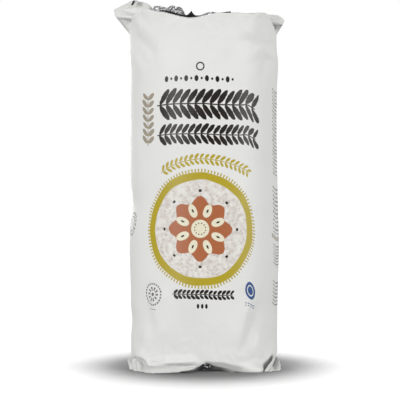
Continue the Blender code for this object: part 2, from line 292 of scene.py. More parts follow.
def film_rows():
    """The film, row by row from the middle of the base to the top seam, before its fine creases."""
    bearing = np.linspace(-180.0, 180.0, COLUMNS + 1)
    lifted = arch(FILM_RADIUS * np.sin(np.radians(bearing))) * in_front(bearing)
    base = BASE_RADIUS + BASE_FRONT_REACH * in_front(bearing)
    base = base - BASE_ARCH_SETBACK * ramp(lifted, *BASE_ARCH_RANGE)
    rows = [on_side(base * share, bearing, 0.0) for share in np.linspace(0.0, 1.0, BASE_ROWS - 1)]
    hem = foot_radius(bearing, 0.0) - turned_under(bearing, lifted)
    rows.append(on_side(mix(base, hem, BASE_LAST_ROW), bearing, BASE_LAST_ROW * lifted))
    for up in np.linspace(0.0, 1.0, FOOT_ROWS):
        height = mix(lifted, FOOT_HEIGHT, up)
        radius = foot_radius(bearing, up) - turned_under(bearing, height)
        rows.append(on_side(radius, bearing, height))
    rim = rim_points(bearing)
    rim_radius = np.hypot(rim[:, 0], rim[:, 1])
    turn = rim[:, 2] - RIM_TURN
    for share in steps(BODY_ROWS):
        height = mix(FOOT_HEIGHT, turn, share)
        blend = ramp(height, RIM_HEIGHT - RIM_BLEND, turn)
        rows.append(on_side(mix(film_radius(bearing, height), rim_radius, blend), bearing, height))
    below, fold, seam = rows[-1], crease_points(bearing), seam_points(seam_share(bearing))
    for share in steps(TURN_ROWS):
        start = mix(mix(below, rim, share), mix(rim, fold, share), share * share * 0.5)
        rows.append(ear_pocket(bearing, 0.5 * share ** 3, start))
    for share in steps(SHOULDER_ROWS):
        rows.append(ear_pocket(bearing, 0.5 + 0.5 * share, mix(start, fold, share)))
    for share in steps(TOP_ROWS):
        rows.append(mix(fold, seam, share))
    return np.array(rows)


# Fine folds: start bearing and height, end bearing and height, rise (+ stands out), and how wide
# the flat facet is on the left and on the right of the line, in degrees and mm
FOLDS = (
    # from the left ear down the front
    (-84, 213, -48, 184, 0.9, 5, 11), (-72, 214, -36, 196, -0.7, 6, 5),
    (-66, 221, -30, 205, 0.6, 4, 8), (-38, 208, -36, 186, 0.5, 9, 4),
    # from the right ear
    (70, 212, 34, 199, 0.8, 6, 7), (64, 206, 26, 206, -0.7, 5, 6), (82, 205, 46, 196, 0.7, 4, 7),
    (58, 200, 50, 182, -0.6, 6, 6), (22, 214, 17, 196, 0.4, 8, 7),
    # up from the left corner of the foot
    (-43, 52, -31, 12, 1.3, 15, 8), (-62, 8, -45, 30, 0.7, 5, 8), (-70, 12, -50, 6.5, 0.6, 4, 3),
    (-75, 22, -52, 14, -0.6, 5, 5),
    # over the foot seal's strip
    (-46, 4.6, -20, 6.9, 1.8, 5.0, 2.3), (-24, 6.6, -5, 7.9, 1.4, 4.5, 2.2),
    (-47, 2.8, -18, 5.7, -1.2, 1.3, 1.0),
    # up from the right corner of the foot
    (28, 17, 37, 48, 0.7, 9, 6), (31, 15, 50, 50, -0.6, 7, 9), (52, 8, 40, 26, 0.6, 6, 6),
    (68, 10, 60, 34, 0.6, 6, 6), (80, 16, 72, 44, -0.5, 6, 6),
    # round the sides and back
    (-120, 210, -112, 168, 0.9, 10, 10), (-150, 206, -128, 186, -0.8, 7, 8),
    (126, 210, 112, 176, 0.9, 9, 9), (150, 208, 138, 180, -0.8, 8, 6),
    (-118, 8, -128, 44, 0.9, 9, 9), (122, 8, 128, 50, 0.9, 9, 9), (-104, 8, -108, 26, -0.7, 5, 6),
    (150, 8, 142, 30, -0.7, 6, 6), (-152, 10, -140, 34, 0.7, 6, 6),
)
FOLD_STRENGTH = 1.25
# Crumpling of the wrap: distance between its ridges, depth all over, and extra depth near both
# ends, in mm, and a shift that picks its pattern
CRUMPLING = ((17.0, 0.10, 0.30, (3.1, 0.0, 0.0)), (6.5, 0.03, 0.16, (0.0, 7.7, 0.0)))
CRUMPLING_REACH = 46.0 * MM
TOP_CRUMPLING = (12.0, 0.7, (0.0, 0.0, 5.3))
WELD = 0.002 * MM


def crumple(places, size, shift):
    """Film crumpled in sharp ridges about size in mm apart: 1 on a ridge, less between."""
    shift = Vector(shift)
    sharp = [noise.noise(Vector(point) / (size * MM) + shift) for point in places.reshape(-1, 3)]
    return 1.0 - 2.0 * np.abs(sharp).reshape(places.shape[:2])


def fold_relief(around, up):
    """The sharp folds of the film: two flat facets that meet in a line, by flat film place."""
    relief = np.zeros_like(up)
    for bearing_a, height_a, bearing_b, height_b, rise, left, right in FOLDS:
        start = np.array([math.radians(bearing_a) * FILM_RADIUS, height_a * MM])
        end = np.array([math.radians(bearing_b) * FILM_RADIUS, height_b * MM])
        length = np.linalg.norm(end - start)
        along_line = (end - start) / length
        from_start = np.stack([around - start[0], up - start[1]], axis=-1)
        share = from_start @ along_line / length
        aside = from_start[..., 0] * along_line[1] - from_start[..., 1] * along_line[0]
        facet = np.where(aside < 0.0, left * MM, right * MM)
        tent = np.clip(1.0 - np.abs(aside) / facet, 0.0, 1.0)
        relief += FOLD_STRENGTH * rise * MM * tent * ramp(share, -0.05, 0.2) * ramp(share, 1.1, 0.6)
    return relief


def sheet_normals(places):
    """The direction that each point of a sheet faces."""
    normals = np.cross(np.gradient(places, axis=1), np.gradient(places, axis=0))
    return normals / np.maximum(np.linalg.norm(normals, axis=-1, keepdims=True), 1e-12)


def creased(places, flat):
    """The film with its folds and crumpling raised from the smooth shape."""
    height = places[..., 2]
    relief = fold_relief(flat[..., 0], flat[..., 1])
    for size, all_over, extra, shift in CRUMPLING:
        depth = all_over + extra * near_ends(height, CRUMPLING_REACH)
        relief += depth * MM * crumple(places, size, shift)
    size, depth, shift = TOP_CRUMPLING
    on_top = ramp(height, RIM_HEIGHT - 2.0 * MM, RIM_HEIGHT + 2.0 * MM)
    relief += depth * MM * on_top * crumple(places, size, shift)
    # the base and the seam keep their place
    rows, last = np.arange(len(places))[:, None], len(places) - 1.0
    free = ramp(rows, BASE_ROWS - 1.0, BASE_ROWS + 8.0) * ramp(rows, last, last - 11.0)
    return places + sheet_normals(places) * (relief * free)[..., None]


def set_out(name, data):
    """An object for a mesh, lamp or camera, linked to the scene."""
    thing = bpy.data.objects.new(name, data)
    bpy.context.scene.collection.objects.link(thing)
    return thing


def wrapped(name, places, flat):
    """A grid piece whose vertices lie at places, row by row, with flat film coordinates."""
    rows, columns = places.shape[:2]
    shape = bmesh.new()
    bmesh.ops.create_grid(shape, x_segments=columns - 1, y_segments=rows - 1, size=1.0)
    mesh = bpy.data.meshes.new(name)
    shape.to_mesh(mesh)
    mesh.vertices.foreach_set("co", places.ravel())
    corner = np.empty(len(mesh.loops), dtype=np.int32)
    mesh.loops.foreach_get("vertex_index", corner)
    mesh.uv_layers.new(name="film").uv.foreach_set("vector", flat.reshape(-1, 2)[corner].ravel())
    shape.clear()
    shape.from_mesh(mesh)
    bmesh.ops.remove_doubles(shape, verts=shape.verts[:], dist=WELD)
    bmesh.ops.recalc_face_normals(shape, faces=shape.faces[:])
    shape.to_mesh(mesh)
    shape.free()
    mesh.shade_smooth()
    thing = set_out(name, mesh)
    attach(thing, "root")
    return thing


def flat_coordinates(places):
    """Distance round the film and up it, in metres: where each point lies on the flat film."""
    rises = np.linalg.norm(np.diff(places, axis=0), axis=-1)
    up = np.vstack([np.zeros(COLUMNS + 1), np.cumsum(rises, axis=0)])
    up += places[BASE_ROWS, :, 2] - up[BASE_ROWS]
    around = np.radians(np.linspace(-180.0, 180.0, COLUMNS + 1)) * FILM_RADIUS
    return np.stack([np.broadcast_to(around, up.shape), up], axis=-1)


film_places = film_rows()
film_flat = flat_coordinates(film_places)
film = wrapped("wrapped_film", creased(film_places, film_flat), film_flat)


class Field:
    """A number or colour that changes over the surface: arithmetic on it lays down Math nodes."""

    def __init__(self, socket):
        self.socket = socket
        self.tree = socket.id_data

    def __add__(self, other):
        return maths("ADD", self, other)

    def __sub__(self, other):
        return maths("SUBTRACT", self, other)

    def __rsub__(self, other):
        return maths("SUBTRACT", other, self)

    def __mul__(self, other):
        return maths("MULTIPLY", self, other)

    def __truediv__(self, other):
        return maths("DIVIDE", self, other)

    def __abs__(self):
        return maths("ABSOLUTE", self)

    def __neg__(self):
        return self * -1.0

    __radd__, __rmul__ = __add__, __mul__


def feed(socket, value):
    """Links a field to a node's input, or sets a plain number or colour on it."""
    if isinstance(value, Field):
        value.tree.links.new(value.socket, socket)
    else:
        socket.default_value = value


def tree_of(values):
    return next(value.tree for value in values if isinstance(value, Field))


def add_node(kind, output, *values, tree=None, **named):
    """A new node, fed by its inputs' order or names; names in small letters are its settings."""
    inputs = dict(enumerate(values))
    inputs.update((name.replace("_", " "), named[name]) for name in named if not name.islower())
    node = (tree or tree_of(inputs.values())).nodes.new("ShaderNode" + kind)
    for name in filter(str.islower, named):
        setattr(node, name, named[name])
    for name, value in inputs.items():
        feed(node.inputs[name], value)
    return Field(node.outputs[output])


def maths(operation, *values):
    return add_node("Math", "Value", *values, operation=operation)


def soft_step(*values):
    """For a value, a start and an end: 0 up to start, 1 from end on; or two other numbers."""
    return add_node("MapRange", "Result", *values, interpolation_type="SMOOTHSTEP")


def blend(base, ink, mask):
    return add_node("Mix", "Result", A=base, B=ink, Factor=mask, data_type="RGBA")


def highest(*masks):
    """The highest of several masks or distances."""
    result = masks[0]
    for mask in masks[1:]:
        result = maths("MAXIMUM", result, mask)
    return result


def distance_of(east, north):
    return maths("SQRT", east * east + north * north)


def inside(distance, softness=0.13):
    """1 where a distance in mm is below nothing, 0 where it is above, with a soft inked edge."""
    return soft_step(distance, softness, -softness)


def band(distance, at, half_width):
    """Distance outside a band that runs where another distance has one value."""
    return abs(distance - at) - half_width


def random_of(value, second=0.0):
    """A fixed random number from 0 to 1 for each whole number."""
    seed = maths("MULTIPLY_ADD", value, 1.37, second)
    return add_node("TexWhiteNoise", "Value", W=seed, noise_dimensions="1D")


def grain(place, scale, detail=2.0, roughness=0.5, output="Fac"):
    """Smooth noise from 0 to 1 at a scale in cells per unit."""
    sizes = {"Scale": scale, "Detail": detail, "Roughness": roughness}
    return add_node("TexNoise", output, Vector=place, **sizes)


def split(place):
    return [add_node("SeparateXYZ", axis, place) for axis in "XY"]


def toned(value, stops):
    """Tones between stops, each a place from 0 to 1 and a colour."""
    node = value.tree.nodes.new("ShaderNodeValToRGB")
    marks = node.color_ramp.elements
    marks.remove(marks[1])
    marks[0].position, marks[0].color = stops[0]
    for place, colour in stops[1:]:
        marks.new(place).color = colour
    feed(node.inputs["Fac"], value)
    return Field(node.outputs["Color"])


def new_group(name, inputs, outputs):
    """An empty shader node group: its tree, the fields that come in, and the sockets out."""
    tree = bpy.data.node_groups.new(name, "ShaderNodeTree")
    for in_out, sockets in (("INPUT", inputs), ("OUTPUT", outputs)):
        for label, kind in sockets.items():
            tree.interface.new_socket(label, in_out=in_out, socket_type=f"NodeSocket{kind}")
    given = [Field(socket) for socket in tree.nodes.new("NodeGroupInput").outputs if socket.name]
    return tree, given, tree.nodes.new("NodeGroupOutput").inputs


def use_group(group, *values):
    """The group in another node tree, its inputs fed in their order; gives its outputs."""
    node = tree_of(values).nodes.new("ShaderNodeGroup")
    node.node_tree = group
    for socket, value in zip(node.inputs, values):
        feed(socket, value)
    outputs = [Field(socket) for socket in node.outputs]
    return outputs if len(outputs) > 1 else outputs[0]


def node_group(output, *labels):
    """Makes the recipe under it a shader node group with one output and the named inputs."""
    def build(recipe):
        inputs = dict.fromkeys(labels, "Float")
        tree, given, made = new_group(recipe.__name__, inputs, {output: "Float"})
        feed(made[output], recipe(*given))
        return lambda *values: use_group(tree, *values)
    return build


@node_group("Mask", "Along", "Across", "Length", "Pitch", "Reach", "Dab", "Rough")
def ear_of_grain(along, across, length, pitch, reach, dab, rough):
    """Brush dabs in slanting pairs on a thin stem, like an ear of grain lying on its side."""
    aside = abs(across)
    sheared = along - 0.62 * aside
    cell = maths("FLOOR", sheared / pitch)
    centre = (cell + 0.5) * pitch
    chance = random_of(cell, maths("SIGN", across) * 31.7)
    own_reach = reach * (0.86 + 0.14 * chance)
    share = maths("MINIMUM", highest((aside - 0.25) / own_reach, 0.0), 1.0)
    belly = maths("SQRT", maths("SINE", share * math.pi))
    half_width = belly * dab * (0.44 + 0.12 * chance)
    past_end = highest(-centre, centre - length)
    dabs = highest(abs(sheared - centre) - half_width + rough, aside - own_reach, past_end)
    stem = highest(aside - (0.12 + 0.07 * dab), band(along, 0.5 * length, 0.5 * length))
    return highest(inside(dabs), inside(stem))


@node_group("Distance", "Around", "Up", "Centre around", "Centre up", "Half width", "Half height")
def oval_distance(around, up, centre_around, centre_up, half_width, half_height):
    """Distance in mm outside an oval of the given centre and half width and height."""
    east, north = (around - centre_around) / half_width, (up - centre_up) / half_height
    return (distance_of(east, north) - 1.0) * half_width


@node_group("Mask", "Reach", "Turn", "Inner", "Outer", "Count", "Share")
def ring_of_strokes(reach, turn, inner, outer, count, share):
    """A ring of short strokes round a centre: polar place in, mask out."""
    place = turn * count
    cell = maths("FLOOR", place)
    width = reach * (2.0 * math.pi) / count
    aside = (abs(place - cell - 0.5) - 0.5 * share) * width
    own_outer = outer - 0.25 * (outer - inner) * random_of(cell)
    return inside(highest(aside, inner - reach, reach - own_outer))


@node_group("Mask", "Along", "Down", "Width", "Height", "Pitch", "Dash")
def fine_rows(along, down, width, height, pitch, dash):
    """Rows of fine dashes, broken and ended at random, as small print looks from afar."""
    row = maths("FLOOR", down / pitch)
    thick = band(down - row * pitch, 0.5 * pitch, 0.20 * pitch)
    shifted = along / dash + 9.0 * random_of(row)
    cell = maths("FLOOR", shifted)
    chance = random_of(cell, row * 7.3)
    gap = (abs(shifted - cell - 0.5) - (0.22 + 0.22 * chance)) * dash
    own_width = width * (0.82 + 0.18 * random_of(row, 4.4))
    ends = highest(-along, along - own_width, -down, down - height)
    return inside(highest(thick, gap, ends), 0.1)


PAPER_WHITE = (0.765, 0.765, 0.745, 1.0)
BROWN_INK = (0.013, 0.009, 0.006, 1.0)
TAN_INK = (0.34, 0.30, 0.235, 1.0)
OLIVE_INK = (0.44, 0.345, 0.020, 1.0)
TERRACOTTA_INK = (0.41, 0.130, 0.050, 1.0)
CREAM_INK = (0.80, 0.75, 0.58, 1.0)
GREY_INK = (0.16, 0.15, 0.135, 1.0)
BLUE_INK = (0.008, 0.068, 0.23, 1.0)
# The pale round's puffed grains: tan in their gaps, lavender between, nearly white on their tops
PUFFED_TONES = (
    (0.18, (0.46, 0.36, 0.27, 1.0)), (0.42, (0.62, 0.565, 0.52, 1.0)),
    (0.62, (0.78, 0.76, 0.72, 1.0)),
)

# The print is laid out on the flat film in mm: around from the front's middle, and up from the
# floor. Ears of grain: left, right, bottom and top edge, distance between dabs, their width
BROWN_EARS = (
    (-31.4, 34.3, 156.4, 176.2, 4.69, 4.3), (-31.4, 35.0, 141.0, 154.5, 3.91, 3.4),
    (-20.5, 18.0, 46.0, 52.2, 2.75, 2.3),
)
TAN_EARS = (
    (-45.2, -33.8, 141.0, 172.5, 4.5, 3.4), (-132.0, -118.0, 145.0, 170.0, 4.6, 3.6),
    (52.0, 76.0, 84.5, 87.5, 2.4, 1.6),
)
# A row of round and narrow beads, and three dots below the small ear
BEADS_START, BEADS_UP, BEAD_PITCH, BEAD_COUNT = -26.2, 182.0, 3.27, 14
DOTS_MIDDLE, DOTS_UP, DOTS_PITCH, DOT_SIZE = -1.35, 41.8, 2.6, (0.8, 1.5)
# The garland is an ear of grain bent round a centre, over the picture
GARLAND_CENTRE = (0.6, 76.6)
GARLAND_RADIUS, GARLAND_LINE, GARLAND_START = 56.0, 55.8, 30.5
GARLAND_DABS = (61.0, 3.2, 3.6, 2.1)    # its length, distance between dabs, reach, their width
# The picture: rings of strokes are given as inner and outer radius, count, and share inked
PICTURE_CENTRE = (-2.6, 89.4)
PICTURE_RING, PICTURE_RING_HALF, PICTURE_RAYS = 32.6, 2.3, (35.0, 37.2, 112.0, 0.42)
DISC_RADIUS, HEART_RADIUS, HEART_STROKES = 30.2, 5.6, (3.1, 3.9, 12.0, 0.38)
ROSETTE_RADIUS, ROSETTE_WAVE, PETALS = 18.2, 2.0, 8.0
PETAL_REACH, PETAL_SIZE, PETAL_SEED = 11.9, (2.5, 4.3), (0.55, 1.2)
OUTER_SEEDS = (22.6, 24.4, 8.0, 0.1)
# Round marks: centre, rings of strokes, and radius and half width of a plain band. They are the
# small ring over the beads, two grey marks at the left, and the back's own ring
SMALL_RING = ((-2.6, 189.4), (), (2.3, 0.42))
GREY_MARK = ((-35.0, 49.0), ((6.0, 7.3, 22.0, 0.62), (2.2, 4.9, 10.0, 0.5)), (0.0, 1.1))
SIDE_STAMP = ((-62.0, 96.0), ((6.3, 8.0, 18.0, 0.6),), (4.6, 0.35))
BACK_RING = ((-125.0, 158.0), ((21.2, 23.0, 64.0, 0.4),), (19.0, 1.2))
# Blocks of fine rows: left and top edge, width, height, distance between rows, length of a dash
FINE_PRINT = (
    (-38.5, 40.2, 7.4, 1.0, 1.0, 1.6), (55.0, 181.0, 26.0, 56.0, 2.3, 2.6),
    (55.0, 119.0, 26.0, 30.0, 2.6, 3.0), (55.0, 82.0, 26.0, 14.0, 1.9, 2.2),
    (55.0, 59.0, 26.0, 16.0, 2.3, 2.6), (-99.0, 180.0, 26.0, 48.0, 2.5, 2.8),
    (-99.0, 78.0, 26.0, 34.0, 2.2, 2.4), (96.0, 176.0, 44.0, 46.0, 2.6, 3.0),
    (-142.0, 118.0, 34.0, 64.0, 2.4, 2.8), (96.0, 62.0, 44.0, 18.0, 2.2, 2.4),
)
# The back's ruled table, and a blue oval with a pale ring in it and bars below it
TABLE_BOX, TABLE_PITCH = (96.0, 140.0, 72.0, 119.0), 5.2
BLUE_OVAL, BLUE_OVAL_RING = (30.7, 52.0, 4.0, 5.3), (-1.7, 0.28)
BLUE_BARS = (26.4, 44.4, 9.6, 2.8, 1.4, 2.2)


def box_distance(around, up, low_around, high_around, low_up, high_up):
    """Distance in mm outside an upright rectangle."""
    east = band(around, (low_around + high_around) / 2.0, (high_around - low_around) / 2.0)
    north = band(up, (low_up + high_up) / 2.0, (high_up - low_up) / 2.0)
    return highest(east, north)


def polar(around, up, centre):
    """Distance from a centre in mm, and the share of a turn about it."""
    east, north = around - centre[0], up - centre[1]
    return distance_of(east, north), maths("ARCTAN2", east, north) * (0.5 / math.pi) + 0.5


def ear_row(around, up, rough, low_around, high_around, low_up, high_up, pitch, dab):
    """An ear of grain that fills a rectangle, lying in a wide one and upright in a tall one."""
    wide, tall = high_around - low_around, high_up - low_up
    from_left, from_foot = around - low_around, up - low_up
    if tall > wide:
        along, across, length, reach = from_foot, from_left - wide / 2.0, tall, wide / 2.0
    else:
        along, across, length, reach = from_left, from_foot - tall / 2.0, wide, tall / 2.0
    return ear_of_grain(along, across, length, pitch, reach, dab, rough)


def round_mark(around, up, centre, stroke_rings, band_line):
    """Rings of strokes round a centre, and a plain band among them."""
    reach, turn = polar(around, up, centre)
    rings = [ring_of_strokes(reach, turn, *ring) for ring in stroke_rings]
    return highest(*rings, inside(band(reach, *band_line)))


def dash_block(around, up, left, top, *sizes):
    return fine_rows(around - left, top - up, *sizes)


def picture_layers(place, around, up, rough):
    """The picture: an olive ring, and the disc, rosette, cream parts and dots inside it."""
    reach, turn = polar(around, up, PICTURE_CENTRE)
    wobble = 1.6 * grain(place, 0.06, 1.0) - 0.8
    ring = inside(band(reach + wobble, PICTURE_RING, PICTURE_RING_HALF), 0.2)
    rays = ring_of_strokes(reach, turn, *PICTURE_RAYS)
    disc = inside(reach - DISC_RADIUS, 0.25)
    wave = ROSETTE_WAVE * maths("COSINE", turn * (2.0 * math.pi * PETALS))
    rosette = inside(reach + rough - (ROSETTE_RADIUS + wave), 0.2)
    aside = (maths("FRACT", turn * PETALS) - 0.5) * reach * (2.0 * math.pi / PETALS)
    petals = oval_distance(aside, reach, 0.0, PETAL_REACH, *PETAL_SIZE)
    cream = inside(maths("MINIMUM", petals, reach - HEART_RADIUS), 0.15)
    dots = highest(
        ring_of_strokes(reach, turn, *HEART_STROKES),
        inside(oval_distance(aside, reach, 0.0, PETAL_REACH, *PETAL_SEED)),
        ring_of_strokes(reach, turn + 0.5 / PETALS, *OUTER_SEEDS),
    )
    return highest(ring, rays), disc, rosette, cream, dots


def film_print_group():
    """All that is printed on the wrap: flat film place in mm in, colour and amount of ink out."""
    outputs = {"Color": "Color", "Ink": "Float"}
    tree, (place,), made = new_group("film_print", {"Place": "Vector"}, outputs)
    around, up = split(place)
    rough = 1.1 * grain(place, 0.55, 3.0, 0.6) - 0.55

    # beads by turns round and narrow
    from_start = around - BEADS_START
    cell = maths("FLOOR", from_start / BEAD_PITCH)
    odd = abs(maths("MODULO", cell, 2.0))
    local = from_start - (cell + 0.5) * BEAD_PITCH
    bead = oval_distance(local, up, 0.0, BEADS_UP, 1.25 - 0.55 * odd, 1.9 - 1.1 * odd)
    beads_end = BEADS_START + BEAD_COUNT * BEAD_PITCH
    beads_box = box_distance(around, up, BEADS_START, beads_end, BEADS_UP - 7.0, BEADS_UP + 6.0)
    small_ring = round_mark(around, up, *SMALL_RING)
    from_middle = abs(around - DOTS_MIDDLE)
    dots_below = [
        inside(oval_distance(from_middle, up, aside, DOTS_UP, *DOT_SIZE))
        for aside in (0.0, DOTS_PITCH)
    ]
    brown_ears = [ear_row(around, up, rough, *ear) for ear in BROWN_EARS]
    brown = highest(*brown_ears, inside(highest(bead, beads_box)), small_ring, *dots_below)
    tan = highest(*[ear_row(around, up, rough, *ear) for ear in TAN_EARS])

    # the picture with its garland, and the back's ring in the same olive
    arch_reach, arch_turn = polar(around, up, GARLAND_CENTRE)
    arch_along = (arch_turn - 0.5) * (2.0 * math.pi * GARLAND_RADIUS) + GARLAND_START
    garland = ear_of_grain(arch_along, arch_reach - GARLAND_LINE, *GARLAND_DABS, rough)
    picture_olive, disc, rosette, cream, dots = picture_layers(place, around, up, rough)
    olive = highest(garland, picture_olive, round_mark(around, up, *BACK_RING))

    # grey marks, fine rows, and a ruled table at the back
    from_rule = abs(maths("FRACT", up / TABLE_PITCH) - 0.5)
    table_box = box_distance(around, up, *TABLE_BOX)
    grey = highest(
        round_mark(around, up, *GREY_MARK),
        round_mark(around, up, *SIDE_STAMP),
        inside(highest((0.46 - from_rule) * TABLE_PITCH, table_box)),
        inside(band(table_box, 0.0, 0.3)),
        *[dash_block(around, up, *block) for block in FINE_PRINT],
    )
    blue_edge = oval_distance(around, up, *BLUE_OVAL)
    blue_oval = inside(highest(blue_edge, -band(blue_edge, *BLUE_OVAL_RING)))
    blue = highest(blue_oval, dash_block(around, up, *BLUE_BARS))

    cells = add_node("TexVoronoi", "Distance", Vector=place, Scale=0.42)
    puffed = toned(0.75 * grain(place, 0.35, 4.0, 0.7) + 0.28 * cells, PUFFED_TONES)
    colour = PAPER_WHITE
    for mask, ink in (
        (disc, puffed), (olive, OLIVE_INK), (rosette, TERRACOTTA_INK), (cream, CREAM_INK),
        (dots, BROWN_INK), (grey, GREY_INK), (tan, TAN_INK), (brown, BROWN_INK), (blue, BLUE_INK),
    ):
        colour = blend(colour, ink, mask)
    # ink lies a little unevenly on the film
    streaks = 0.85 + 0.30 * grain(place, 0.8, 3.0, 0.6)
    uneven = add_node("HueSaturation", "Color", Value=streaks, Color=colour)
    inked = highest(disc, olive, rosette, grey, tan, brown, blue)
    feed(made["Color"], blend(colour, uneven, inked))
    feed(made["Ink"], inked)
    return tree


def film_wear_group():
    """The film itself: faint clouding, and fine crinkles that end in sharp lines."""
    outputs = {"Clouding": "Float", "Normal": "Vector"}
    tree, (place,), made = new_group("film_wear", {"Place": "Vector"}, outputs)
    feed(made["Clouding"], 0.95 + 0.10 * grain(place, 28.0, 3.0, 0.55))
    warp, amount = grain(place, 60.0, output="Color"), (0.012, 0.012, 0.012)
    warped = add_node("VectorMath", "Vector", warp, amount, place, operation="MULTIPLY_ADD")
    crinkle = {"Vector": warped, "Scale": 95.0, "feature": "DISTANCE_TO_EDGE"}
    lines = maths("MINIMUM", add_node("TexVoronoi", "Distance", **crinkle), 0.12)
    height = 1.4 * lines + 0.16 * grain(place, 240.0)
    feed(made["Normal"], add_node("Bump", "Normal", Strength=0.13, Distance=0.0012, Height=height))
    return tree


film_print, film_wear = film_print_group(), film_wear_group()


def new_finish(name):
    """A material, its node tree, and the shader's own inputs."""
    material = bpy.data.materials.new(name)
    material.use_nodes = True
    return material, material.node_tree, material.node_tree.nodes["Principled BSDF"].inputs


def flat_place(tree):
    """Where a point lies on the flat film, in mm."""
    place = add_node("UVMap", "UV", tree=tree, uv_map="film")
    return add_node("VectorMath", "Vector", place, Scale=1.0 / MM, operation="SCALE")


def film_finish(name, colour=None):
    """Matt white packing film, printed, or in the one colour given."""
    material, tree, surface = new_finish(name)
    feed(surface["Specular IOR Level"], 0.30)
    clouding, normal = use_group(film_wear, add_node("TexCoord", "Object", tree=tree))
    feed(surface["Normal"], normal)
    roughness = 0.52
    if colour is None:
        colour, ink = use_group(film_print, flat_place(tree))
        roughness = roughness - 0.08 * ink
    feed(surface["Roughness"], roughness)
    feed(surface["Base Color"], add_node("HueSaturation", "Color", Value=clouding, Color=colour))
    return material


film.data.materials.append(film_finish("matt_printed_film"))
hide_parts("rice_cake_pack")

# ---------------------------------------------------------------------------------------------
# The top seal. The film's two edges are pressed together between hot ribbed jaws into a straight
# fin from ear to ear and cut off with a zig-zag knife. It stands up at the left and lies back.
# Its film is the same as the wrap's, painted a little greyer as painted shade; the corner tabs and
# the foot seal wear it too.

# painted shade: the seals' film colour, set darker than the wrap's white
SEAL_SHADE_GREY = tuple(0.88 * part for part in PAPER_WHITE[:3]) + (1.0,)
FIN_WIDTH = 11.0 * MM
FIN_FILM = 0.30 * MM
FIN_RIBS, FIN_RIB_DEPTH = 8, 0.13 * MM
FIN_TEETH, FIN_TOOTH = 88, 0.35 * MM
FIN_BEND = 0.8 * MM
FIN_RUMPLE = 0.55 * MM
FIN_ROWS, FIN_COLUMNS = 36, 352
# The fin's cut edge from ear to ear: distance across, and how far below the pack's top
FIN_EDGE = MM * np.array((
    (-46.7, 0.2), (-44.6, 0.0), (-40.0, 0.7), (-35.5, 2.6), (-33.9, 4.2), (-33.3, 4.6),
    (-29.0, 4.6), (-24.3, 5.2), (-20.0, 6.0), (-12.0, 8.3), (-4.0, 8.9), (3.0, 7.6), (8.0, 8.0),
    (17.0, 7.5), (30.0, 8.0), (40.0, 8.4), (46.5, 9.2),
))


def flat_lengths(places):
    """Distance along a sheet's rows and down its columns: where each point lies when flat."""
    along = np.diff(places, axis=1, prepend=places[:, :1])
    down = np.diff(places, axis=0, prepend=places[:1])
    along = np.cumsum(np.linalg.norm(along, axis=-1), axis=1)
    return np.stack([along, np.cumsum(np.linalg.norm(down, axis=-1), axis=0)], axis=-1)


def thick_sheet(name, places, thickness, finish, flat=None):
    """A closed piece of film: its front, its back and their common edges, which thin to nothing."""
    if flat is None:
        flat = flat_lengths(places)
    end = np.minimum(np.arange(places.shape[1]), np.arange(places.shape[1])[::-1])
    depth = thickness * np.minimum(1.0, end / 1.5)
    back = places - sheet_normals(places) * depth[None, :, None]
    loop = np.concatenate([places, back[::-1], places[:1]])
    piece = wrapped(name, loop, np.concatenate([flat, flat[::-1], flat[:1]]))
    piece.data.materials.append(finish)


def fin_places():
    """The top fin from its root on the seam to its cut edge."""
    share = np.linspace(-1.0, 1.0, FIN_COLUMNS)
    root = seam_points(share)
    lean = mix(-by_ear(share, "fin_lean"), 0.0, ramp(np.abs(share), 1.0, 0.7)) * np.sign(share)
    across = root[:, 0] + lean
    height = pack_high.z - np.interp(across, *FIN_EDGE.T)
    back = FIN_WIDTH ** 2 - (height - root[:, 2]) ** 2 - lean ** 2
    back = np.sqrt(np.maximum(back, (0.4 * MM) ** 2))
    edge = np.stack([across, root[:, 1] + back, height], axis=-1)
    place = np.linspace(0.0, 1.0, FIN_ROWS)[:, None]
    places = mix(root[None], edge[None], place[..., None])
    # it bends back in a soft curve, not along one line
    places[..., 2] += FIN_BEND * np.sin(np.pi * place) * ramp(back, 0.0, 9.0 * MM)
    facing = sheet_normals(places)
    flat = flat_lengths(places)
    ribs = np.cos(2.0 * np.pi * FIN_RIBS * place) * ramp(place, 0.0, 0.08) * ramp(place, 1.0, 0.95)
    rumple = FIN_RUMPLE * crumple(places, 9.0, (9.1, 0.0, 2.0)) * ramp(place, 0.0, 0.3)
    places = places + facing * (FIN_RIB_DEPTH * ribs + rumple)[..., None]
    tooth = np.arange(FIN_COLUMNS) * FIN_TEETH / (FIN_COLUMNS - 1) % 1.0
    tooth = 2.0 * np.abs(tooth - 0.5)
    outward = (edge - root) / np.linalg.norm(edge - root, axis=-1, keepdims=True)
    places += outward[None] * (FIN_TOOTH * tooth * ramp(place, 0.9, 1.0))[..., None]
    return places, flat


seal_shaded_finish = film_finish("seal_film_painted_shade", SEAL_SHADE_GREY)
fin_shape, fin_flat = fin_places()
thick_sheet("top_seal_fin", fin_shape, FIN_FILM, seal_shaded_finish, fin_flat)

# ---------------------------------------------------------------------------------------------
# The opened lip. Left of the middle the front layer of the fin has come away, and the bright
# metallised inside of the back layer stands up behind the rim in a crushed dome and a point.

LIP_FILM = 0.12 * MM
LIP_ROWS, LIP_COLUMNS = 22, 240
LIP_LEAN, LIP_BELLY, LIP_CRUSH = 1.6 * MM, 0.6 * MM, 1.2 * MM
